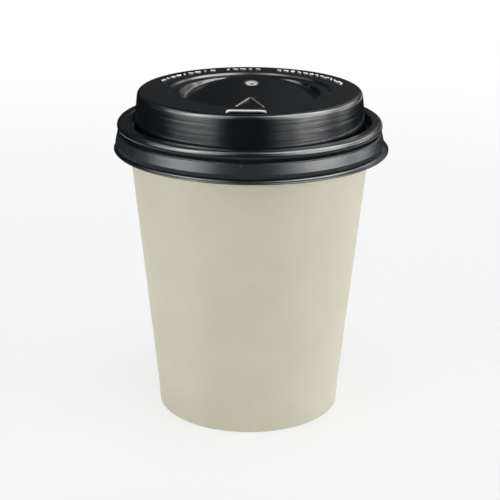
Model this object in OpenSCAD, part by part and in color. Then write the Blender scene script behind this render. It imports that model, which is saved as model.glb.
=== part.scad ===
// Single-wall paper cup for hot drinks, closed by a push-fit lid with a drinking hole.
// Millimetres, +Z up. The origin is the middle of the folded ring that the cup stands on.
// The drinking hole faces -Y and the glued side seam of the paper wall faces +Y.

/* [Paper wall] */
// Height from the table to the top of the rolled rim
cup_h = 92.4; // [84:0.2:110]
// Outer diameter of the wall at its bottom edge
base_d = 57.4; // [52:0.2:62]
// Outer diameter of the rolled rim
rim_d = 79.6; // [77:0.1:84]
// Height of the roll in the rolled rim
rim_roll = 2.45; // [2.2:0.05:3]
// Thickness of the paperboard of the wall
board_t = 0.33; // [0.25:0.01:0.4]
// How far the paper edge turns on past the first full turn of the rim, in degrees
rim_extra = 60; // [20:5:110]
// Height of the pressed band at the foot, which is steeper than the wall above it
foot_h = 7; // [6:0.2:10]
// How far the wall leans out over the height of that band
foot_lean = 0.45; // [0.3:0.05:0.7]
// Radius of the soft bend where the band turns into the wall
foot_bend = 9; // [4:1:14]
// Radius of the two bends of the fold that the cup stands on, at mid thickness
hem_bend = 0.25; // [0.21:0.01:0.3]
// Width of the glued lap of the side seam
seam_w = 6.5; // [4:0.5:10]

/* [Bottom disc] */
// Thickness of the paperboard of the disc
disc_t = 0.33; // [0.25:0.01:0.4]
// How far the top of the disc lies below the top of the foot band
disc_drop = 0.8; // [0.4:0.1:1.5]
// Radius of the bend between the disc and its skirt, at mid thickness
disc_bend = 0.55; // [0.3:0.05:0.8]
// Space left between glued layers of board
glue_gap = 0.05; // [0.03:0.01:0.08]
// Space between the folded-up edge of the wall and the disc above it
hem_space = 1.1; // [1:0.1:2]
// Space between the lower edge of the skirt and the fold below it
skirt_space = 0.25; // [0.15:0.05:0.6]

/* [Lid edge] */
// Thickness of the lid's sheet
lid_t = 0.38; // [0.3:0.01:0.45]
// Clearance between the rim and the narrowest ring of the lid
rim_gap = 0.1; // [0.06:0.01:0.2]
// Clearance between the top of the rim and the underside of the lid
crown_gap = 0.2; // [0.1:0.05:0.4]
// Clearance between the plug of the lid and the inside of the cup
plug_gap = 0.12; // [0.08:0.01:0.3]
// How far the bead over the rim stands out beyond the narrowest ring
bead_out = 0.52; // [0.4:0.02:0.8]
// Height of the narrowest ring above the underside of the rolled rim
groove_rise = 0.1; // [0:0.05:0.3]
// How far the top edge of the band stands out beyond the narrowest ring
shoulder_out = 0.45; // [0.4:0.05:0.8]
// Height of the narrowest ring above the top edge of the band
shoulder_drop = 0.3; // [0.25:0.05:0.5]
// Height of the band
band_h = 3.3; // [2.5:0.1:5]
// How far the band widens towards its lower edge
band_flare = 0.65; // [0.2:0.05:1.2]
// Height of the hollow between the band and the lip
cove_h = 2; // [1.4:0.05:3]
// How far the trimmed lip stands out
lip_w = 1.5; // [1:0.05:1.8]
// How far the lip slopes down to its edge
lip_drop = 0.25; // [0.1:0.05:0.5]

/* [Lid top] */
// Height of the raised drum above the bead
drum_h = 9; // [6:0.25:14]
// Slope of the drum's side from upright, in degrees
drum_draft = 6.3; // [3:0.1:8]
// Outer radius of the drum's top edge
drum_round = 1.5; // [0.8:0.1:2.4]
// Depth of the moat between the drum and the bead
moat_depth = 3.4; // [2.6:0.1:6]
// Width of the floor of the moat
moat_w = 0.93; // [0.8:0.05:1.5]
// Radius of the two bends at the floor of the moat
moat_bend = 0.3; // [0.2:0.02:0.34]
// Width of the deck from the corner of the drum's top to the step down to the ledge
deck_w = 9.5; // [8.5:0.1:11]
// Depth of that step
step_drop = 0.65; // [0.6:0.05:0.9]
// How far the step runs inwards on its way down
step_run = 0.4; // [0.3:0.05:0.8]
// Inside radius of the sheet in the sharpest bends
tight_bend = 0.07; // [0.04:0.01:0.1]
// Width of the ledge around the well
ledge_w = 3.1; // [1.5:0.1:5]
// Slope of the floor of the well, down towards the drinking hole, in degrees
well_tilt = 10; // [6:0.5:12]
// Draft of the side of the well, in degrees
well_draft = 6; // [3:0.5:10]
// Radius of the bend between the side and the floor of the well
well_bend = 1.2; // [0.6:0.1:2]

/* [Openings of the lid] */
// Width of the drinking hole across the lid
sip_w = 11; // [8:0.2:14]
// Length of the drinking hole from back to front
sip_l = 4.5; // [4:0.1:5.4]
// Corner radius of the drinking hole
sip_corner = 1.4; // [0.6:0.1:1.9]
// Distance from the corner of the drum's top to the front edge of the hole
sip_inset = 2.5; // [2.3:0.1:3]
// Depth of the turned-down edge of the hole
sip_edge = 0.75; // [0.6:0.05:1.2]
// Distance from the back edge of the well to the middle of the air vent
vent_inset = 5; // [4.6:0.2:12]
// Diameter of the dimple around the air vent
vent_d = 5.4; // [4:0.1:6]
// Depth of that dimple
vent_depth = 0.6; // [0.4:0.05:0.9]
// Diameter of the air vent's pinhole
vent_hole_d = 0.8; // [0.5:0.1:1.2]

/* [Hidden] */
$fn = 96;

// Largest angle between two points on a bend
bend_step = 15;
// Reach of a cut beyond the face that it goes through
over = 3;

// Points on an arc from angle a0 to angle a1
function arc_points(c, r, a0, a1) =
    let (n = max(2, ceil(abs(a1 - a0) / bend_step)))
    [for (i = [0:n]) let (a = a0 + (a1 - a0) * i / n) c + r * [cos(a), sin(a)]];

function flat(p) = [p[0], p[1]];
function unit(v) = v / norm(v);
function left_of(v) = [-v[1], v[0]];
function turn(a, b) = atan2(a[0] * b[1] - a[1] * b[0], a * b);

// The corner q between p and s, rounded with radius r
function corner(p, q, s, r) =
    let (a = unit(q - p), w = turn(a, s - q))
    let (start = q - a * r * tan(abs(w) / 2))
    let (c = start + sign(w) * r * left_of(a))
    arc_points(c, r, atan2(start[1] - c[1], start[0] - c[0]), atan2(start[1] - c[1], start[0] - c[0]) + w);

// A line through corners given as [r, z, bend radius], with its two ends as they are
function bent(p) =
    let (last = len(p) - 1)
    [flat(p[0]),
     for (i = [1:last - 1])
         for (q = corner(flat(p[i - 1]), flat(p[i]), flat(p[i + 1]), p[i][2])) q,
     flat(p[last])];

// A line moved sideways by d, to the left of its own direction
function moved(p, d) =
    let (last = len(p) - 1)
    [for (i = [0:last])
        let (a = left_of(unit(p[max(i, 1)] - p[max(i, 1) - 1])))
        let (b = left_of(unit(p[min(i, last - 1) + 1] - p[min(i, last - 1)])))
        p[i] + d * (a + b) / (1 + a * b)];

function backwards(p) = [for (i = [len(p) - 1:-1:0]) p[i]];

// Outline of a sheet that reaches l to the left of a line and r to its right
function sheet(p, l, r) = concat(moved(p, l), backwards(moved(p, -r)));

// Half the outer size of the wall at height z inside the foot band
function foot_r(z) = base_d / 2 + foot_lean * z / foot_h;

// Roll of the rim: the middle of the section, and the radius of each half turn
roll_r = (rim_roll - board_t) / 2;
roll_step = (board_t + glue_gap) / 2;
roll_c = [(rim_d - rim_roll) / 2, cup_h - rim_roll / 2];
// Corner between the foot band and the wall, at mid thickness
foot_top = [foot_r(foot_h) - board_t / 2, foot_h];
// Direction of the wall, which runs straight up to touch the roll
wall_angle = atan2(roll_c[1] - foot_top[1], roll_c[0] - foot_top[0])
    + asin(roll_r / norm(roll_c - foot_top));

// Mid radius of the wall above the foot band, and its inner and outer radius
function wall_r(z) = foot_top[0] + (z - foot_top[1]) / tan(wall_angle);
wall_half = board_t / 2 / sin(wall_angle);
function wall_in_r(z) = wall_r(z) - wall_half;

// Depth at mid thickness of the skirt and of the folded-up edge, inside the outer face
skirt_in = board_t + glue_gap + disc_t / 2;
flap_in = board_t + disc_t + 2 * glue_gap + board_t / 2;
disc_z = foot_h - disc_drop;
hem_top = disc_z - disc_t - hem_space;

// The wall's board at mid thickness: folded-up edge, fold, foot band, wall and rolled rim
wall_line = concat(
    bent([
        [foot_r(hem_top) - flap_in, hem_top],
        [foot_r(0) - flap_in, board_t / 2, hem_bend],
        [foot_r(0) - board_t / 2, board_t / 2, hem_bend],
        [foot_top[0], foot_top[1], foot_bend],
        [wall_r(cup_h - 2 * rim_roll), cup_h - 2 * rim_roll]]),
    arc_points(roll_c, roll_r, wall_angle + 90, 0),
    arc_points(roll_c + [roll_step, 0], roll_r - roll_step, -bend_step, -180),
    arc_points(roll_c, roll_r - 2 * roll_step, 180 - bend_step, 180 - rim_extra));

// Outer edge of the side seam's lap, from just above the fold to just under the roll
lap_low = board_t / 2 + hem_bend;
lap_high = cup_h - rim_roll - glue_gap;
lap_line = bent([
    [foot_r(lap_low) - board_t / 2, lap_low],
    [foot_top[0], foot_top[1], foot_bend],
    [wall_r(lap_high), lap_high]]);
lap_angle = seam_w / (2 * PI * wall_r(lap_high)) * 360;

module cup_wall() {
    color([0.79, 0.77, 0.70]) {
        rotate_extrude() polygon(sheet(wall_line, board_t / 2, board_t / 2));
        rotate([0, 0, 90 - lap_angle / 2])
            rotate_extrude(angle = lap_angle) polygon(sheet(lap_line, 0, board_t * 1.5));
    }
}

module base_disc() {
    mid_z = disc_z - disc_t / 2;
    low_z = board_t + skirt_space;
    skirt_line = bent([
        [0, mid_z],
        [foot_r(mid_z) - skirt_in, mid_z, disc_bend],
        [foot_r(low_z) - skirt_in, low_z]]);
    color([0.83, 0.81, 0.75])
        rotate_extrude() polygon(sheet(skirt_line, disc_t / 2, disc_t / 2));
}

// Rings of the lid, all on its outer face
crown_z = cup_h + crown_gap + lid_t;
deck_z = crown_z + drum_h;
ledge_z = deck_z - step_drop;
moat_z = crown_z - moat_depth;
groove_z = cup_h - rim_roll + groove_rise;
groove_r = rim_d / 2 + rim_gap + lid_t;
bead_r = groove_r + bead_out;
shoulder_z = groove_z - shoulder_drop;
shoulder_r = groove_r + shoulder_out;
band_z = shoulder_z - band_h;
band_r = shoulder_r + band_flare;
cove_z = band_z - cove_h;
lip_r = band_r + lip_w;
lip_z = cove_z - lip_drop;
// The plug stands parallel to the inside of the wall
function plug_r(z) = wall_in_r(z) - plug_gap - lid_t;
drum_foot_r = plug_r(moat_z) - moat_w;
drum_top_r = drum_foot_r - (deck_z - moat_z) * tan(drum_draft);
// Outer radius of the sharpest bends, where the sheet lies inside the bend
outer_bend = lid_t + tight_bend;
// Radius of the step's top edge and of the well's mouth
step_r = drum_top_r - deck_w;
well_r = step_r - step_run - ledge_w;

// Depth of the bead's outer side below the crown
bead_side = 1.85;
// Outer radii of the bead's inner and outer edge and of its lower edge
crown_in_bend = 0.8;
crown_out_bend = 1.5;
bead_low_bend = 0.6;
groove_bend = 0.22;
band_bend = 0.5;
cove_bend = 0.45;

lid_line = bent([
    [0, ledge_z],
    [step_r - step_run, ledge_z, tight_bend],
    [step_r, deck_z, outer_bend],
    [drum_top_r, deck_z, drum_round],
    [drum_foot_r, moat_z, moat_bend],
    [plug_r(moat_z), moat_z, moat_bend],
    [plug_r(crown_z), crown_z, crown_in_bend],
    [bead_r, crown_z, crown_out_bend],
    [bead_r, crown_z - bead_side, bead_low_bend],
    [groove_r, groove_z, groove_bend],
    [shoulder_r, shoulder_z, outer_bend],
    [band_r, band_z, band_bend],
    [band_r, cove_z, cove_bend],
    [lip_r, lip_z]]);

// The well is a round dish that leans forward. Its floor meets the ledge at the back, at dish_y.
dish_r = well_r / (1 + tan(well_tilt) * tan(well_draft));
dish_h = 2 * dish_r * tan(well_tilt) + over;
dish_y = well_r + well_bend / 2;
dish_line = bent([
    [0, 0],
    [dish_r, 0, well_bend],
    [dish_r + dish_h * tan(well_draft), dish_h]]);

module in_dish() {
    translate([0, dish_y, ledge_z]) rotate([well_tilt, 0, 0])
        translate([0, -dish_r, 0]) children();
}

module dish(grow) {
    in_dish() rotate_extrude()
        polygon(concat(moved(dish_line, -grow), [[0, dish_h]]));
}

// The dimple is part of a ball that sinks into the floor of the well
vent_ball_r = (vent_d * vent_d / 4 + vent_depth * vent_depth) / (2 * vent_depth);
vent_back = dish_r - (dish_y - well_r + vent_inset) / cos(well_tilt);

module at_vent() {
    in_dish() translate([0, vent_back, 0]) children();
}

module vent_ball(grow) {
    at_vent() intersection() {
        translate([0, 0, vent_ball_r - vent_depth]) sphere(r = vent_ball_r + grow);
        translate([0, 0, -over]) cylinder(r = vent_d, h = 2 * over);
    }
}

// The drinking hole is a rectangle with round corners
sip_y = sip_inset + sip_l / 2 - drum_top_r;

module sip_outline(grow) {
    w = sip_w / 2 - sip_corner;
    l = sip_l / 2 - sip_corner;
    translate([0, sip_y]) {
        square([2 * w, sip_l + 2 * grow], center = true);
        square([sip_w + 2 * grow, 2 * l], center = true);
        for (x = [-w, w]) for (y = [-l, l])
            translate([x, y]) circle(r = sip_corner + grow);
    }
}

module lid() {
    color([0.14, 0.15, 0.16]) difference() {
        union() {
            rotate_extrude() polygon(sheet(lid_line, 0, lid_t));
            intersection() {
                dish(lid_t);
                cylinder(r = step_r, h = ledge_z);
            }
            intersection() {
                vent_ball(lid_t);
                cylinder(r = step_r, h = ledge_z - lid_t);
            }
            translate([0, 0, deck_z - sip_edge])
                linear_extrude(sip_edge - lid_t / 2) sip_outline(lid_t);
        }
        dish(0);
        vent_ball(0);
        at_vent() translate([0, 0, -over]) cylinder(r = vent_hole_d / 2, h = 2 * over);
        translate([0, 0, deck_z - over]) linear_extrude(2 * over) sip_outline(0);
    }
}

cup_wall();
base_disc();
lid();
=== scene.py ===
import math

import bmesh
import bpy
from mathutils import Euler, Matrix, Vector


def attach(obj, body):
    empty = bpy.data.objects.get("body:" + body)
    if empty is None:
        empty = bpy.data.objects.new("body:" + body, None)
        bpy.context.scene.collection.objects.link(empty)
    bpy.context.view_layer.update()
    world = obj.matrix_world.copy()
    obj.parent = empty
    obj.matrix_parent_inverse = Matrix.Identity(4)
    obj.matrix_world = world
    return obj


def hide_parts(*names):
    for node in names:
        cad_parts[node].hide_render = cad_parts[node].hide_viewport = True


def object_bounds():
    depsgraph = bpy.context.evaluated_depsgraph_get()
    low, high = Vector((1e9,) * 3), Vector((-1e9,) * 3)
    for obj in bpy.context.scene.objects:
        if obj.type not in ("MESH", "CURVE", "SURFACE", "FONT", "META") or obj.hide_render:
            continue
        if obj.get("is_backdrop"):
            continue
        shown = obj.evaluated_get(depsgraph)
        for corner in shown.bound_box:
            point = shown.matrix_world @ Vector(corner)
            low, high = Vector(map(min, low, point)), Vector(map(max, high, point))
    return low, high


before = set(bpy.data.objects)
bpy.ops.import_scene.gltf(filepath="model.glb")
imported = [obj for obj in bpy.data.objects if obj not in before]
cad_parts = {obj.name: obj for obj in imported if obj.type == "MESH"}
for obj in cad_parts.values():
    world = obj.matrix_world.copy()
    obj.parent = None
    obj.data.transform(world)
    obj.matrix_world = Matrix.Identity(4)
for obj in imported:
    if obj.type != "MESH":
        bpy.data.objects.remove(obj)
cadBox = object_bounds()
mm = 0.001
upAxis = Vector((0, 0, 1))
sameSpot = 0.00001  # points closer than this, in metres, are one
noiseRange = (0.3, 0.7)  # most values of a noise lie between these


# smooth step from 0 to 1 between two values
def ease(low, high, value):
    t = min(1.0, max(0.0, (value - low) / (high - low)))
    return t * t * (3 - 2 * t)


# draws a wire in the XZ plane through corners (radius, height, bend), and rounds each bend by spinning the pen
def drawWire(bm, corners, arcStep=9.0):
    points = [Vector((r, 0, z)) * mm for r, z, bend in corners]
    pen = bm.verts.new(points[0])
    for i in range(1, len(points) - 1):
        come = (points[i] - points[i - 1]).normalized()
        go = (points[i + 1] - points[i]).normalized()
        turn = math.atan2(come.cross(go).y, come.dot(go))
        bend = corners[i][2] * mm
        pen = drawTo(bm, pen, points[i] - come * bend * math.tan(abs(turn) / 2))
        if bend:
            middle = pen.co + math.copysign(bend, turn) * Vector((0, 1, 0)).cross(come)
            pen = drawArc(bm, pen, middle, turn, arcStep)
    return drawTo(bm, pen, points[-1])


# draws a straight line from the pen to a point
def drawTo(bm, pen, point):
    nextPen = bmesh.ops.extrude_vert_indiv(bm, verts=[pen])["verts"][0]
    nextPen.co = point
    return nextPen


# draws an arc from the pen round a middle
def drawArc(bm, pen, middle, turn, arcStep=9.0):
    steps = max(2, math.ceil(abs(math.degrees(turn)) / arcStep))
    arc = bmesh.ops.spin(bm, geom=[pen], cent=middle, axis=(0, 1, 0), dvec=(0, 0, 0), angle=turn, steps=steps)
    return [v for v in arc["geom_last"] if isinstance(v, bmesh.types.BMVert)][0]


# turns the wire once round the cup's axis
def lathe(bm, steps):
    bmesh.ops.spin(bm, geom=bm.verts[:] + bm.edges[:], cent=(0, 0, 0), axis=upAxis, dvec=(0, 0, 0),
                   angle=math.tau, steps=steps, use_merge=True)
    bmesh.ops.remove_doubles(bm, verts=bm.verts[:], dist=sameSpot)
    bmesh.ops.recalc_face_normals(bm, faces=bm.faces[:])


# makes the face whose middle lies furthest along way point that way, and all the others with it
def faceTowards(bm, way):
    bm.normal_update()
    far = max(bm.faces, key=lambda f: f.calc_center_median().dot(way))
    if far.normal.dot(way) < 0:
        bmesh.ops.reverse_faces(bm, faces=bm.faces[:])


# cuts a convex outline, anticlockwise from above, out of the given faces and returns the faces inside it
def carve(bm, faces, outline):
    inside = set(faces)
    for a, b in zip(outline, outline[1:] + outline[:1]):
        out = Vector((b.y - a.y, a.x - b.x, 0)).normalized()
        edges = {e for f in inside for e in f.edges}
        verts = {v for f in inside for v in f.verts}
        cut = bmesh.ops.bisect_plane(bm, geom=list(inside) + list(edges) + list(verts), dist=1e-7,
                                     plane_co=a, plane_no=out)
        found = [g for g in cut["geom"] if isinstance(g, bmesh.types.BMFace)]
        inside = {f for f in found if (f.calc_center_median() - a).dot(out) < 0}
    return list(inside)


# faces above a height, with an upward side, whose own box reaches the outline's box
def facesUnder(bm, outline, lowest):
    lowX, highX = min(p.x for p in outline), max(p.x for p in outline)
    lowY, highY = min(p.y for p in outline), max(p.y for p in outline)
    middleX, middleY = (lowX + highX) / 2, (lowY + highY) / 2
    near = 14 * mm
    found = []
    for f in bm.faces:
        c = f.calc_center_median()
        if c.z < lowest or f.normal.z < 0.5 or abs(c.x - middleX) > near or abs(c.y - middleY) > near:
            continue
        xs = [v.co.x for v in f.verts]
        ys = [v.co.y for v in f.verts]
        if max(xs) >= lowX and min(xs) <= highX and max(ys) >= lowY and min(ys) <= highY:
            found.append(f)
    return found


# the edges round a group of faces
def rimOf(faces):
    inside = set(faces)
    return [e for f in faces for e in f.edges if sum(1 for g in e.link_faces if g in inside) == 1]


# makes the finished bmesh an object that rides on a body and stands for a CAD node
def makePiece(name, bm, body, node, materials):
    mesh = bpy.data.meshes.new(name)
    bm.to_mesh(mesh)
    bm.free()
    for polygon in mesh.polygons:
        polygon.use_smooth = True
    piece = bpy.data.objects.new(name, mesh)
    bpy.context.scene.collection.objects.link(piece)
    for material in materials:
        mesh.materials.append(material)
    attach(piece, body)
    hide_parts(node)
    print(name, "has", len(mesh.polygons), "faces")
    return piece


# maps a value from one range to another, with the limits (low, high, new low, new high)
def rangeNode(tree, value, limits, smooth=False):
    node = tree.nodes.new("ShaderNodeMapRange")
    if smooth:
        node.interpolation_type = "SMOOTHSTEP"
    for socket, number in zip(("From Min", "From Max", "To Min", "To Max"), limits):
        node.inputs[socket].default_value = number
    tree.links.new(value, node.inputs["Value"])
    return node.outputs["Result"]


# one maths step on numbers or on other nodes' values
def mathNode(tree, way, *values):
    node = tree.nodes.new("ShaderNodeMath")
    node.operation = way
    for i, value in enumerate(values):
        if isinstance(value, (int, float)):
            node.inputs[i].default_value = value
        else:
            tree.links.new(value, node.inputs[i])
    return node.outputs["Value"]


# the nodes of one material, in the piece's own coordinates
class Shades:
    def __init__(self, name):
        self.material = bpy.data.materials.new(name)
        self.material.use_nodes = True
        self.tree = self.material.node_tree
        self.nodes = self.tree.nodes
        self.shader = self.nodes["Principled BSDF"]
        self.place = self.nodes.new("ShaderNodeTexCoord").outputs["Object"]

    def link(self, out, into):
        self.tree.links.new(out, into)

    def noise(self, size, detail=2.0, rough=0.5, stretch=(1, 1, 1)):
        mapping = self.nodes.new("ShaderNodeMapping")
        mapping.inputs["Scale"].default_value = [1 / (size * mm * s) for s in stretch]
        self.link(self.place, mapping.inputs["Vector"])
        noise = self.nodes.new("ShaderNodeTexNoise")
        noise.inputs["Scale"].default_value = 1.0
        noise.inputs["Detail"].default_value = detail
        noise.inputs["Roughness"].default_value = rough
        self.link(mapping.outputs["Vector"], noise.inputs["Vector"])
        return noise.outputs["Fac"]

    def spread(self, value, low, high, outLow=0.0, outHigh=1.0, smooth=False):
        return rangeNode(self.tree, value, (low, high, outLow, outHigh), smooth)

    def sum(self, a, b, way="ADD"):
        return mathNode(self.tree, way, a, b)

    def blend(self, fac, colourA, colourB):
        node = self.nodes.new("ShaderNodeMix")
        node.data_type = "RGBA"
        self.link(fac, node.inputs["Factor"])
        for i, colour in ((6, colourA), (7, colourB)):
            if isinstance(colour, tuple):
                node.inputs[i].default_value = colour + (1.0,)
            else:
                self.link(colour, node.inputs[i])
        return node.outputs[2]

    def bump(self, height, depth, below=None):
        node = self.nodes.new("ShaderNodeBump")
        node.inputs["Strength"].default_value = 1.0
        node.inputs["Distance"].default_value = depth * mm
        self.link(height, node.inputs["Height"])
        if below is not None:
            self.link(below, node.inputs["Normal"])
        return node.outputs["Normal"]


def paperMaterial(name, look):
    s = Shades(name)
    mottle = s.noise(look["mottleSize"], 3, 0.55)
    fibre = s.noise(look["fibreSize"], 3, 0.6, stretch=(1, 1, look["fibreFlat"]))
    colour = s.blend(s.spread(mottle, *noiseRange), look["colourLow"], look["colourHigh"])
    colour = s.blend(s.spread(fibre, *look["fibreRange"], 0.0, look["fibreShow"]), colour, look["fibreColour"])
    s.link(colour, s.shader.inputs["Base Color"])
    s.link(s.spread(mottle, *noiseRange, look["roughLow"], look["roughHigh"]), s.shader.inputs["Roughness"])
    fine = s.bump(fibre, look["bumpDepth"])
    s.link(s.bump(mottle, look["waveDepth"], below=fine), s.shader.inputs["Normal"])
    s.shader.inputs["Specular IOR Level"].default_value = look["specular"]
    return s.material


def lidMaterial(name, look):
    s = Shades(name)
    cloud = s.noise(look["cloudSize"], 3, 0.55)
    peel = s.noise(look["peelSize"], 2, 0.5)
    streak = s.noise(look["streakSize"], 2, 0.5, stretch=(1, 1, look["streakFlat"]))
    # this attribute is pale on the whitened edge of the drinking hole and on the vent's dimple, and is a painted
    # highlight on the raised marks and the chevron
    white = s.nodes.new("ShaderNodeAttribute")
    white.attribute_name = "whiteningAndHighlight"
    grain = s.noise(look["grainSize"], 2, 0.6)
    pale = s.sum(white.outputs["Fac"], s.spread(grain, *noiseRange, *look["grainShow"]), "MULTIPLY")
    colour = s.blend(s.spread(cloud, *noiseRange), look["colourLow"], look["colourHigh"])
    parts = s.nodes.new("ShaderNodeSeparateXYZ")
    s.link(s.place, parts.inputs["Vector"])
    # the band is rougher than the rest, and a little paler as a painted sheen
    aboveLow = s.spread(parts.outputs["Z"], *(z * mm for z in look["bandLow"]), smooth=True)
    belowHigh = s.spread(parts.outputs["Z"], *(z * mm for z in look["bandHigh"]), smooth=True)
    band = s.sum(aboveLow, belowHigh, "MULTIPLY")
    colour = s.blend(band, colour, look["bandSheenColour"])
    colour = s.blend(pale, colour, look["whiteningAndHighlightColour"])
    s.link(colour, s.shader.inputs["Base Color"])
    rough = s.spread(cloud, *noiseRange, look["roughLow"], look["roughHigh"])
    rough = s.sum(rough, s.sum(band, look["bandRough"], "MULTIPLY"))
    rough = s.sum(rough, s.sum(white.outputs["Fac"], look["whiteningAndHighlightRough"], "MULTIPLY"))
    s.link(rough, s.shader.inputs["Roughness"])
    fine = s.bump(peel, look["peelDepth"])
    wide = s.bump(cloud, look["cloudDepth"], below=fine)
    last = s.bump(streak, look["streakDepth"], below=wide)
    s.link(last, s.shader.inputs["Normal"])
    s.shader.inputs["Specular IOR Level"].default_value = look["specular"]
    s.shader.inputs["IOR"].default_value = look["ior"]
    return s.material


# paper wall: one rolled blank with a lapped seam at the back

wall = {
    "height": 92.4, "baseRadius": 28.7, "rimRadius": 39.8, "rimRoll": 2.45, "board": 0.33,
    "rimExtra": 60, "footHeight": 7.0, "footLean": 0.45, "footBend": 9.0, "hemBend": 0.25,
    "flapTop": 4.77, "flapIn": 0.925, "glueGap": 0.05, "longRun": 20, "rings": 24, "steps": 192,
    "seamAngle": 90, "seamRadius": 37.0, "lap": 6.5, "lapRamp": 5.0, "lapSteps": 12, "lapClear": 0.02,
    "lapRise": 0.34, "lapFoot": (0.7, 3.0), "lapFlat": 0.26, "lapRim": (87.5, 90.0), "outerIn": 0.5,
}
wallLook = {
    "colourLow": (0.578, 0.555, 0.430), "colourHigh": (0.618, 0.596, 0.466), "fibreColour": (0.66, 0.64, 0.53),
    "fibreShow": 0.22, "fibreRange": (0.35, 0.75), "fibreSize": 0.55, "fibreFlat": 2.2, "mottleSize": 16.0,
    "roughLow": 0.5, "roughHigh": 0.6, "bumpDepth": 0.012, "waveDepth": 0.03, "specular": 0.4,
}
insideLook = dict(wallLook, colourLow=(0.70, 0.69, 0.62), colourHigh=(0.74, 0.73, 0.66),
                  fibreColour=(0.78, 0.77, 0.71), roughLow=0.32, roughHigh=0.42, bumpDepth=0.006)
edgeLook = dict(wallLook, colourLow=(0.62, 0.58, 0.46), colourHigh=(0.68, 0.64, 0.52),
                fibreSize=0.25, fibreShow=0.5, roughLow=0.8, roughHigh=0.9, bumpDepth=0.03)


def buildWall(w):
    bm = bmesh.new()
    half = w["board"] / 2
    rollRadius = (w["rimRoll"] - w["board"]) / 2
    rollR, rollZ = w["rimRadius"] - w["rimRoll"] / 2, w["height"] - w["rimRoll"] / 2
    footR, footZ = w["baseRadius"] + w["footLean"] - half, w["footHeight"]
    reach = math.hypot(rollR - footR, rollZ - footZ)
    slope = math.atan2(rollZ - footZ, rollR - footR) + math.asin(rollRadius / reach)
    side = Vector((math.cos(slope), 0, math.sin(slope)))
    middle = Vector((rollR, 0, rollZ)) * mm
    touch = middle + Vector((-math.sin(slope), 0, math.cos(slope))) * rollRadius * mm
    flapR = w["baseRadius"] + w["footLean"] * w["flapTop"] / w["footHeight"] - w["flapIn"]
    pen = drawWire(bm, [
        (flapR, w["flapTop"], 0),
        (w["baseRadius"] - w["flapIn"], half, w["hemBend"]),
        (w["baseRadius"] - half, half, w["hemBend"]),
        (footR, footZ, w["footBend"]),
        (touch.x / mm, touch.z / mm, 0),
    ])
    pen = drawArc(bm, pen, middle, slope + math.pi / 2)
    stepIn = (w["board"] + w["glueGap"]) / 2 * mm
    pen = drawArc(bm, pen, middle + Vector((stepIn, 0, 0)), math.pi)
    drawArc(bm, pen, middle, math.radians(w["rimExtra"]))
    bmesh.ops.remove_doubles(bm, verts=bm.verts[:], dist=sameSpot)

    # long runs get a few rings, so that the lap can rise and fade
    longRuns = [e for e in bm.edges if e.calc_length() > w["longRun"] * mm]
    bmesh.ops.subdivide_edges(bm, edges=longRuns, cuts=w["rings"])

    # the main turn, then the ramp and the lap that lies over its start
    lapTurn = w["lap"] / w["seamRadius"]
    rampTurn = w["lapRamp"] / w["seamRadius"]
    start = math.radians(w["seamAngle"]) - lapTurn / 2
    bmesh.ops.rotate(bm, verts=bm.verts[:], cent=(0, 0, 0), matrix=Matrix.Rotation(start, 3, "Z"))
    main = bmesh.ops.spin(bm, geom=bm.verts[:] + bm.edges[:], cent=(0, 0, 0), axis=upAxis, dvec=(0, 0, 0),
                          angle=math.tau - rampTurn, steps=w["steps"])
    before = set(bm.verts)
    bmesh.ops.spin(bm, geom=main["geom_last"], cent=(0, 0, 0), axis=upAxis, dvec=(0, 0, 0),
                   angle=rampTurn + lapTurn, steps=w["lapSteps"])
    bmesh.ops.recalc_face_normals(bm, faces=bm.faces[:])
    bm.normal_update()
    tall = max(bm.faces, key=lambda f: f.calc_area())
    if tall.normal.dot(tall.calc_center_median()) < 0:
        bmesh.ops.reverse_faces(bm, faces=bm.faces[:])
        bm.normal_update()
    for v in [v for v in bm.verts if v not in before]:
        z = v.co.z / mm
        radius = math.hypot(v.co.x, v.co.y)
        turned = (math.atan2(v.co.y, v.co.x) - start) % math.tau
        turned = turned if turned > math.pi else turned + math.tau
        rise = ease(math.tau - rampTurn, math.tau, turned)
        # the flap inside the foot has no room, so it only gets the clear gap
        outer = radius > (w["baseRadius"] - w["outerIn"]) * mm
        board = w["lapRise"] * ease(*w["lapFoot"], z) - w["lapFlat"] * ease(*w["lapRim"], z)
        v.co += v.normal * (w["lapClear"] + board * outer) * rise * mm
    return bm


wallPaper = paperMaterial("wallPaper", wallLook)
insidePaper = paperMaterial("insidePaper", insideLook)
cutPaper = paperMaterial("cutPaper", edgeLook)
cupWall = makePiece("cupWall", buildWall(wall), "cup", "cup_wall", [wallPaper, insidePaper, cutPaper])
sheet = cupWall.modifiers.new("board", "SOLIDIFY")
sheet.thickness = wall["board"] * mm
sheet.offset = 0.0
sheet.use_even_offset = True
sheet.material_offset = 1
sheet.material_offset_rim = 2


# bottom disc with its skirt

disc = {
    "thick": 0.33, "top": 6.2, "bend": 0.55, "radius": 28.7, "lean": 0.45, "leanHeight": 7,
    "skirtIn": 0.545, "low": 0.58, "innerRing": 9, "steps": 160,
}
discLook = dict(insideLook, colourLow=(0.66, 0.645, 0.56), colourHigh=(0.70, 0.685, 0.60))


def buildDisc(d):
    bm = bmesh.new()
    middle = d["top"] - d["thick"] / 2
    drawWire(bm, [
        (0, middle, 0),
        (d["innerRing"], middle, 0),
        (d["radius"] + d["lean"] * middle / d["leanHeight"] - d["skirtIn"], middle, d["bend"]),
        (d["radius"] + d["lean"] * d["low"] / d["leanHeight"] - d["skirtIn"], d["low"], 0),
    ])
    bmesh.ops.remove_doubles(bm, verts=bm.verts[:], dist=sameSpot)
    lathe(bm, d["steps"])
    faceTowards(bm, upAxis)
    return bm


baseDisc = makePiece("baseDisc", buildDisc(disc), "cup", "base_disc",
                     [paperMaterial("discPaper", discLook), cutPaper])
sheet = baseDisc.modifiers.new("board", "SOLIDIFY")
sheet.thickness = disc["thick"] * mm
sheet.offset = 0.0
sheet.use_even_offset = True
sheet.material_offset_rim = 1


# lid: one formed sheet

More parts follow.
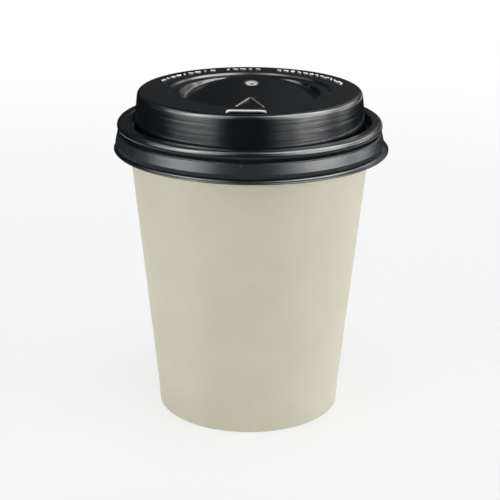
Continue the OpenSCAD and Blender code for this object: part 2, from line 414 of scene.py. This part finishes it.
lid = {
    "sheet": 0.38, "steps": 216,
    "deck": 101.98, "ledge": 101.33, "stepRadius": 24.9, "stepRun": 0.55, "wellRadius": 21.4,
    "wellTilt": 10.0, "wellDraft": 6.0, "wellBend": 1.2, "wellNominal": 3.7,
    "drumTop": 34.4, "drumRound": 1.5, "drumFoot": 35.8, "moat": 89.58, "moatBend": 0.3,
    "plugLow": 36.72, "plugHigh": 37.13, "crown": 92.98, "crownIn": 0.8, "crownOut": 1.5,
    "bead": 40.8, "beadSide": 1.85, "beadLow": 0.6, "groove": 40.28, "grooveTop": 90.75, "grooveZ": 89.55,
    "shoulder": 40.74, "shoulderZ": 89.33, "band": 41.38, "bandZ": 86.45, "coveZ": 84.45,
    "lip": 42.4, "lipZ": 84.2, "lipShift": 0.47, "lipReach": 0.1, "wellReach": 0.6,
    "ringHeights": (98.9, 97.2), "ringHalf": 0.28, "ringDepth": 0.012, "ringBend": 0.2,
    "tight": 0.07, "grooveBend": 0.12, "shoulderBend": 0.14, "bandBend": 0.5, "coveBend": 0.45,
    "tallRun": 3, "rings": 5,
}
sip = {"width": 11.0, "length": 4.5, "corner": 1.4, "y": -29.65, "fillet": 0.36, "depth": 0.75,
       "steps": 6, "below": 0.4}
vent = {"y": 16.4, "radius": 2.7, "depth": 0.45, "hole": 0.42, "rings": 7, "sides": 28, "below": 4.0,
        "edgeBend": (1.0, 0.8), "pale": 0.9, "paleEdge": (0.87, 0.5), "paleHole": (0.16, 0.3)}
# each group of marks has its first and last angle, a count and how pale it is, a painted highlight; the chevron's
# two bars are painted as a highlight too, the left one paler
marks = {
    "ring": 29.6, "lengths": (1.9, 1.6, 2.1), "wide": 0.7, "high": 0.3, "slants": (58, -35, 75), "below": 0.1,
    "layers": ((0.06, 0.35), (0.14, 0.40), (0.24, 0.25)),
    "groups": [(116.0, 158.0, 9, 0.8), (87.0, 106.0, 5, 0.6), (18.5, 73.5, 13, 0.9)],
    "chevronTop": (0.0, 4.2), "chevronFoot": (4.25, -2.6), "chevronSplit": 0.2, "chevronWide": 0.6,
    "chevronHigh": 0.22, "chevronHighlight": (0.36, 0.2), "chevronBelow": 6.6,
}
lidLook = {
    "colourLow": (0.0036, 0.0058, 0.0078), "colourHigh": (0.0044, 0.0070, 0.0094),
    # the pale colour whitens the hole edges and paints a highlight on the raised marks and the chevron
    "whiteningAndHighlightColour": (0.78, 0.78, 0.77), "whiteningAndHighlightRough": 0.25, "grainSize": 0.35, "grainShow": (0.75, 1.1),
    # the band colour is a painted sheen
    "bandSheenColour": (0.014, 0.018, 0.021), "bandLow": (85.0, 85.6), "bandHigh": (89.5, 89.1), "bandRough": 0.1,
    "cloudSize": 11.0, "cloudDepth": 0.06, "peelSize": 1.4, "peelDepth": 0.004,
    "streakSize": 16.0, "streakFlat": 0.06, "streakDepth": 0.018,
    "roughLow": 0.14, "roughHigh": 0.18, "specular": 0.5, "ior": 1.5,
}


# an oblong with round corners, anticlockwise from above
def roundedOutline(w, l, corner, y, sides=6):
    points = []
    for cx, cy, start in ((w, l, 0), (-w, l, 90), (-w, -l, 180), (w, -l, 270)):
        for i in range(sides + 1):
            a = math.radians(start + 90 * i / sides)
            points.append(Vector((cx + corner * math.cos(a), y + cy + corner * math.sin(a), 0)) * mm)
    return points


# height of the leaning well floor at a place
def wellFloor(y):
    return lid["ledge"] * mm - (lid["wellRadius"] * mm - y) * math.tan(math.radians(lid["wellTilt"]))


# the drinking hole
def cutSip(bm, white):
    # the outline is cut wider by the fillet, and the edge then turns down into the hole
    w, l = sip["width"] / 2 - sip["corner"], sip["length"] / 2 - sip["corner"]
    outline = roundedOutline(w, l, sip["corner"] + sip["fillet"], sip["y"])
    inside = carve(bm, facesUnder(bm, outline, (lid["deck"] - sip["below"]) * mm), outline)
    edges = rimOf(inside)
    bmesh.ops.delete(bm, geom=inside, context="FACES")
    edges = [e for e in edges if e.is_valid]
    for k in range(1, sip["steps"] + 2):
        rounding = k <= sip["steps"]
        turn = math.radians(90 * min(k, sip["steps"]) / sip["steps"])
        grown = bmesh.ops.extrude_edge_only(bm, edges=edges)["geom"]
        edges = [g for g in grown if isinstance(g, bmesh.types.BMEdge)]
        for v in {v for e in edges for v in e.verts}:
            coreX = min(w * mm, max(-w * mm, v.co.x))
            coreY = min((sip["y"] + l) * mm, max((sip["y"] - l) * mm, v.co.y))
            core = Vector((coreX, coreY, 0))
            way = Vector((v.co.x, v.co.y, 0)) - core
            way.normalize()
            spot = core + way * (sip["corner"] + sip["fillet"] * (1 - math.sin(turn))) * mm
            drop = sip["fillet"] * (1 - math.cos(turn)) if rounding else sip["depth"]
            v.co = (spot.x, spot.y, (lid["deck"] - drop) * mm)
            v[white] = 1.0 if rounding else 0.0


# the vent: a dimple painted pale, fading at its edge and round the pinhole
def cutVent(bm, white):
    centre = Vector((0, vent["y"], 0)) * mm
    outline = [centre + Vector((math.cos(a), math.sin(a), 0)) * vent["radius"] * mm
               for a in (math.tau * i / vent["sides"] for i in range(vent["sides"]))]
    inside = carve(bm, facesUnder(bm, outline, (lid["ledge"] - vent["below"]) * mm), outline)
    edges = rimOf(inside)
    bmesh.ops.delete(bm, geom=inside, context="FACES")
    edges = [e for e in edges if e.is_valid]
    for k in range(1, vent["rings"] + 1):
        share = 1 - k / vent["rings"] * (1 - vent["hole"] / vent["radius"])
        grown = bmesh.ops.extrude_edge_only(bm, edges=edges)["geom"]
        edges = [g for g in grown if isinstance(g, bmesh.types.BMEdge)]
        for v in {v for e in edges for v in e.verts}:
            way = Vector((v.co.x, v.co.y, 0)) - centre
            way.normalize()
            spot = centre + way * vent["radius"] * share * mm
            bowl = vent["depth"] * (1 - share * share) * ease(*vent["edgeBend"], share)
            v.co = (spot.x, spot.y, wellFloor(spot.y) - bowl * mm)
            v[white] = vent["pale"] * ease(*vent["paleEdge"], share) * ease(*vent["paleHole"], share)


# raises a small bar out of the sheet, in layers that draw in towards its middle line, and paints the raised layers
# pale as a highlight
def emboss(bm, white, pale, centre, along, length, width, high, lowest):
    side = Vector((-along.y, along.x, 0))
    corners = ((-1, -0.5), (-0.88, -1), (0.88, -1), (1, -0.5), (1, 0.5), (0.88, 1), (-0.88, 1), (-1, 0.5))
    outline = [centre + (along * length * a + side * width * b) * mm / 2 for a, b in corners]
    inside = carve(bm, facesUnder(bm, outline, lowest), outline)
    top = bmesh.ops.dissolve_faces(bm, faces=inside)["region"]
    across = width / 2
    for narrow, rise in marks["layers"]:
        grown = bmesh.ops.extrude_face_region(bm, geom=top)["geom"]
        bmesh.ops.delete(bm, geom=top, context="FACES_ONLY")
        top = [g for g in grown if isinstance(g, bmesh.types.BMFace)]
        new = [g for g in grown if isinstance(g, bmesh.types.BMVert)]
        drawIn = (width / 2 - narrow * width) / across
        drawBack = (length - 2 * (width / 2 - across * drawIn)) / length
        across *= drawIn
        for v in new:
            away = v.co - centre
            v.co += side * away.dot(side) * (drawIn - 1) + along * away.dot(along) * (drawBack - 1)
            v.co.z += rise * high * mm
            v[white] = pale


# the two shallow rings that forming leaves round the drum
def drumRings(p):
    corners = []
    for z in p["ringHeights"]:
        for step, inwards in ((p["ringHalf"], 0), (0, p["ringDepth"]), (-p["ringHalf"], 0)):
            share = (p["deck"] - z - step) / (p["deck"] - p["moat"])
            radius = p["drumTop"] + share * (p["drumFoot"] - p["drumTop"]) - inwards
            corners.append((radius, z + step, p["ringBend"]))
    return corners


def buildLid(p):
    bm = bmesh.new()
    floorZ = p["ledge"] - p["wellNominal"]
    draft = math.tan(math.radians(p["wellDraft"]))
    tight, outer = p["tight"], p["sheet"] + p["tight"]
    drawWire(bm, [
        (0, floorZ, 0),
        (p["wellRadius"] - p["wellNominal"] * draft, floorZ, p["wellBend"]),
        (p["wellRadius"], p["ledge"], outer),
        (p["stepRadius"] - p["stepRun"], p["ledge"], tight),
        (p["stepRadius"], p["deck"], outer),
        (p["drumTop"], p["deck"], p["drumRound"]),
        *drumRings(p),
        (p["drumFoot"], p["moat"], p["moatBend"]),
        (p["plugLow"], p["moat"], p["moatBend"]),
        (p["plugHigh"], p["crown"], p["crownIn"]),
        (p["bead"], p["crown"], p["crownOut"]),
        (p["bead"], p["crown"] - p["beadSide"], p["beadLow"]),
        (p["groove"], p["grooveTop"], p["grooveBend"]),
        (p["groove"], p["grooveZ"], p["grooveBend"]),
        (p["shoulder"], p["shoulderZ"], p["shoulderBend"]),
        (p["band"], p["bandZ"], p["bandBend"]),
        (p["band"], p["coveZ"], p["coveBend"]),
        (p["lip"], p["lipZ"], 0),
    ])
    bmesh.ops.remove_doubles(bm, verts=bm.verts[:], dist=sameSpot)
    tallRuns = [e for e in bm.edges if e.calc_length() > p["tallRun"] * mm]
    bmesh.ops.subdivide_edges(bm, edges=tallRuns, cuts=p["rings"])
    lathe(bm, p["steps"])
    faceTowards(bm, upAxis)

    # the well leans: its floor meets the ledge at the back and is deepest at the front
    lean = math.tan(math.radians(p["wellTilt"]))
    for v in bm.verts:
        radius = math.hypot(v.co.x, v.co.y)
        if radius < (p["wellRadius"] + p["wellReach"]) * mm and v.co.z < p["ledge"] * mm:
            share = (p["ledge"] * mm - v.co.z) / (p["wellNominal"] * mm)
            v.co.z = p["ledge"] * mm - share * max(0.0, p["wellRadius"] * mm - v.co.y) * lean

    # the trimmed lip stands out further on the right than on the left
    for v in bm.verts:
        radius = math.hypot(v.co.x, v.co.y)
        if radius > (p["lip"] - p["lipReach"]) * mm and v.co.z < p["coveZ"] * mm:
            trimmed = p["lip"] * mm + p["lipShift"] * mm * v.co.x / radius
            v.co.x, v.co.y = v.co.x * trimmed / radius, v.co.y * trimmed / radius

    # pale where the hole edges are whitened, and a painted highlight on the raised marks and the chevron
    white = bm.verts.layers.float.new("whiteningAndHighlight")
    bm.normal_update()
    cutSip(bm, white)
    cutVent(bm, white)
    print("lid openings cut")
    bm.normal_update()
    bmesh.ops.solidify(bm, geom=bm.faces[:], thickness=p["sheet"] * mm)
    bm.normal_update()

    # raised marks on the deck behind the well, and a plain chevron on the well's floor, both painted pale as a
    # highlight, the chevron's left bar more than its right
    for first, last, count, pale in marks["groups"]:
        for i in range(count):
            a = math.radians(first + (last - first) * i / (count - 1))
            outwards = Vector((math.cos(a), math.sin(a), 0))
            centre = outwards * marks["ring"] * mm
            along = Matrix.Rotation(math.radians(marks["slants"][i % 3]), 3, "Z") @ outwards
            emboss(bm, white, pale, centre, along, marks["lengths"][i % 3], marks["wide"], marks["high"],
                   (p["deck"] - marks["below"]) * mm)
    for sign, pale in zip((-1, 1), marks["chevronHighlight"]):
        top = Vector((marks["chevronTop"][0] + sign * marks["chevronSplit"], marks["chevronTop"][1], 0)) * mm
        foot = Vector((marks["chevronFoot"][0] * sign, marks["chevronFoot"][1], 0)) * mm
        along = (foot - top).normalized()
        emboss(bm, white, pale, (top + foot) / 2, along, (foot - top).length / mm,
               marks["chevronWide"], marks["chevronHigh"], (p["ledge"] - marks["chevronBelow"]) * mm)
    return bm


lidPlastic = lidMaterial("lidPlastic", lidLook)
lidShell = makePiece("lidShell", buildLid(lid), "lid", "lid", [lidPlastic])
even = lidShell.modifiers.new("evenShade", "WEIGHTED_NORMAL")
even.weight = 60
print("pieces done")


# floor, light and camera

stage = {
    "pale": (0.78, 0.78, 0.777), "floorRadius": 6.0, "floorSides": 96, "floorLow": 0.0002,
    "nearRing": 0.10, "farRing": 0.6, "nearGlow": 0.75,
    "bandLow": 1.0, "bandHigh": 5.0, "horizon": 0.8, "room": 0.056,
}
# black card ring: each gap runs over azimuths (closed, open, open, closed) above a height
cardRing = {
    "radius": 0.2, "sides": 120, "foot": 0.026, "top": 0.128, "rows": 17, "soft": 0.008,
    "gaps": [(-85, -62, -38, -12, 0.085), (-112, -92, -38, -12, 0.094), (12, 38, 66, 92, 0.085),
             (12, 38, 92, 112, 0.091), (80, 100, 148, 165, 0.081)],
}


# pale floor that glows to white away from the cup, and keeps the cup's shadow near it
def buildFloor():
    bm = bmesh.new()
    bmesh.ops.create_circle(bm, cap_ends=True, segments=stage["floorSides"], radius=stage["floorRadius"],
                            matrix=Matrix.Translation((0, 0, -stage["floorLow"])))
    mesh = bpy.data.meshes.new("studioFloor")
    bm.to_mesh(mesh)
    bm.free()
    floor = bpy.data.objects.new("studioFloor", mesh)
    bpy.context.scene.collection.objects.link(floor)
    s = Shades("floorPaint")
    s.shader.inputs["Base Color"].default_value = stage["pale"] + (1.0,)
    s.shader.inputs["Roughness"].default_value = 0.9
    s.shader.inputs["Specular IOR Level"].default_value = 0.0
    away = s.nodes.new("ShaderNodeVectorMath")
    away.operation = "LENGTH"
    s.link(s.place, away.inputs[0])
    ring = s.spread(away.outputs["Value"], stage["nearRing"], stage["farRing"], stage["nearGlow"], 1.0, smooth=True)
    path = s.nodes.new("ShaderNodeLightPath").outputs
    seen = s.sum(s.sum(path["Is Camera Ray"], path["Is Glossy Ray"]), path["Is Transmission Ray"])
    glow = s.nodes.new("ShaderNodeEmission")
    glow.inputs["Strength"].default_value = 1.0
    mix = s.nodes.new("ShaderNodeMixShader")
    s.link(s.sum(ring, s.sum(seen, 1.0, "MINIMUM"), "MULTIPLY"), mix.inputs[0])
    s.link(s.shader.outputs["BSDF"], mix.inputs[1])
    s.link(glow.outputs["Emission"], mix.inputs[2])
    s.link(mix.outputs["Shader"], s.nodes["Material Output"].inputs["Surface"])
    mesh.materials.append(s.material)
    floor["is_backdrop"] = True


# white for the camera, and for the lid's gloss a dark room with a white horizon
def buildSky():
    world = bpy.data.worlds.new("studioWorld")
    bpy.context.scene.world = world
    world.use_nodes = True
    tree = world.node_tree
    tree.nodes.clear()
    coord = tree.nodes.new("ShaderNodeTexCoord")
    parts = tree.nodes.new("ShaderNodeSeparateXYZ")
    tree.links.new(coord.outputs["Generated"], parts.inputs["Vector"])
    low, high = math.sin(math.radians(stage["bandLow"])), math.sin(math.radians(stage["bandHigh"]))
    band = rangeNode(tree, parts.outputs["Z"], (low, high, stage["horizon"], stage["room"]), smooth=True)
    path = tree.nodes.new("ShaderNodeLightPath").outputs
    back = tree.nodes.new("ShaderNodeBackground")
    back.inputs["Color"].default_value = (1, 1, 1, 1)
    tree.links.new(mathNode(tree, "MAXIMUM", path["Is Camera Ray"], band), back.inputs["Strength"])
    out = tree.nodes.new("ShaderNodeOutputWorld")
    tree.links.new(back.outputs["Background"], out.inputs["Surface"])


# a soft box that faces the cup and fades to its edges, with its azimuth from the front towards +X
# a gloss box is only seen by reflections, and a matt box only lights what is matt, as the paper and the floor
def softBox(name, use, azimuth, elevation, width, height, bright, core=(0, 0), distance=0.9, target=(0, 0, 0.09)):
    lamp = bpy.data.lights.new(name, "AREA")
    lamp.shape = "RECTANGLE"
    lamp.size, lamp.size_y = width, height
    lamp.energy = math.pi * width * height * bright
    lamp.use_nodes = True
    tree = lamp.node_tree
    parts = tree.nodes.new("ShaderNodeSeparateXYZ")
    tree.links.new(tree.nodes.new("ShaderNodeNewGeometry").outputs["Parametric"], parts.inputs["Vector"])
    fades = []
    for axis, full in zip("XY", core):
        # away runs from 0 at the middle to 0.5 at the edge
        away = mathNode(tree, "ABSOLUTE", mathNode(tree, "SUBTRACT", parts.outputs[axis], 0.5))
        fades.append(rangeNode(tree, away, (0.5, 0.5 * full, 0.0, 1.0), smooth=True))
    tree.links.new(mathNode(tree, "MULTIPLY", *fades), tree.nodes["Emission"].inputs["Strength"])
    piece = bpy.data.objects.new(name, lamp)
    bpy.context.scene.collection.objects.link(piece)
    a, e = math.radians(azimuth), math.radians(elevation)
    aim = Vector(target)
    spot = aim + Vector((math.sin(a) * math.cos(e), -math.cos(a) * math.cos(e), math.sin(e))) * distance
    piece.location = spot
    piece.rotation_euler = (spot - aim).to_track_quat("Z", "Y").to_euler()
    piece.visible_camera = False
    piece.visible_diffuse = use != "gloss"
    piece.visible_glossy = use != "matt"


# a ring of black card, out of the picture and only seen by the lid's gloss, whose gaps open softly
def buildCards(ring):
    bm = bmesh.new()
    bmesh.ops.create_circle(bm, segments=ring["sides"], radius=ring["radius"],
                            matrix=Matrix.Translation((0, 0, ring["foot"])))
    edges = bm.edges[:]
    rise = (ring["top"] - ring["foot"]) / ring["rows"]
    for row in range(ring["rows"]):
        grown = bmesh.ops.extrude_edge_only(bm, edges=edges)["geom"]
        edges = [g for g in grown if isinstance(g, bmesh.types.BMEdge)]
        bmesh.ops.translate(bm, verts=[g for g in grown if isinstance(g, bmesh.types.BMVert)], vec=(0, 0, rise))
    gap = bm.verts.layers.float.new("gap")
    for v in bm.verts:
        azimuth = math.degrees(math.atan2(v.co.x, -v.co.y))
        v[gap] = max(ease(a, b, azimuth) * ease(d, c, azimuth) * ease(low - ring["soft"], low + ring["soft"], v.co.z)
                     for a, b, c, d, low in ring["gaps"])
    mesh = bpy.data.meshes.new("blackCards")
    bm.to_mesh(mesh)
    bm.free()
    cards = bpy.data.objects.new("blackCards", mesh)
    bpy.context.scene.collection.objects.link(cards)
    s = Shades("cardBlack")
    s.shader.inputs["Base Color"].default_value = (0.01, 0.01, 0.01, 1)
    s.shader.inputs["Specular IOR Level"].default_value = 0.0
    opening = s.nodes.new("ShaderNodeAttribute")
    opening.attribute_name = "gap"
    through = s.nodes.new("ShaderNodeBsdfTransparent")
    mix = s.nodes.new("ShaderNodeMixShader")
    s.link(opening.outputs["Fac"], mix.inputs[0])
    s.link(s.shader.outputs["BSDF"], mix.inputs[1])
    s.link(through.outputs["BSDF"], mix.inputs[2])
    s.link(mix.outputs["Shader"], s.nodes["Material Output"].inputs["Surface"])
    mesh.materials.append(s.material)
    cards.visible_camera = cards.visible_diffuse = cards.visible_shadow = False
    cards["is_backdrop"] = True


buildFloor()
buildSky()
buildCards(cardRing)
# use, azimuth, elevation, width, height, brightness, then the share of width and height at full light
softBox("leftWide", "gloss", -57, 28, 1.44, 1.25, 4.5, (0.5, 0.5))
softBox("leftCore", "gloss", -57, 37, 0.72, 0.93, 10.0, (0.0, 0.34))
softBox("leftLow", "gloss", -57, 7, 0.80, 0.34, 4.0)
softBox("leftHigh", "gloss", -57, 66, 0.72, 0.62, 7.0)
softBox("leftBack", "gloss", -105, 45, 0.72, 0.62, 1.5)
softBox("topRight", "gloss", 45, 82, 0.72, 0.62, 2.0)
softBox("rightInner", "gloss", 34, 26, 0.72, 0.62, 4.0)
softBox("rightLow", "gloss", 37, 7, 0.55, 0.34, 3.5)
softBox("rightWide", "gloss", 68, 26, 1.08, 1.25, 9.2, (0.33, 0.5))
softBox("rightHigh", "gloss", 80, 66, 1.08, 0.62, 12.0, (0.33, 0.0))
softBox("rightBack", "gloss", 104, 46, 0.72, 0.62, 11.7)
softBox("sideLow", "gloss", 106, 4, 0.90, 0.40, 6.0)
softBox("rearRight", "gloss", 117, 26, 1.08, 0.62, 4.6, (0.33, 0.0))
softBox("rearBox", "gloss", 158, 36, 0.72, 0.93, 0.65, (0.0, 0.34))
softBox("leftFill", "matt", -60, 8, 1.30, 0.45, 6.7, (0.4, 0.0))
softBox("rightFill", "matt", 79, 8, 1.30, 0.45, 8.1, (0.4, 0.0))
softBox("frontFill", "matt", 0, 10, 0.90, 0.45, 1.7)
softBox("rearFill", "matt", 175, 14, 0.90, 0.45, 6.5, (0.4, 0.0))
softBox("topFill", "matt", 20, 80, 1.0, 1.0, 6.5)
print("stage and lamps done")

view = {"eye": (15.27, -428.5, 197.6), "down": 19.0, "turn": 2.0, "roll": 0.35, "lens": 102.8, "sensor": 36.0}
cameraData = bpy.data.cameras.new("photoCamera")
cameraData.lens = view["lens"]
cameraData.sensor_width = view["sensor"]
cameraData.clip_start = 0.01
camera = bpy.data.objects.new("photoCamera", cameraData)
bpy.context.scene.collection.objects.link(camera)
camera.location = Vector(view["eye"]) * mm
aimed = Euler((math.radians(90 - view["down"]), 0, math.radians(view["turn"]))).to_matrix()
camera.rotation_euler = (aimed @ Matrix.Rotation(math.radians(view["roll"]), 3, "Z")).to_euler()
bpy.context.scene.camera = camera
bpy.context.scene.view_settings.view_transform = "Standard"

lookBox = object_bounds()
for label, box in (("cad", cadBox), ("visual", lookBox)):
    print(label, "box in mm", [[round(c / mm, 2) for c in corner] for corner in box])
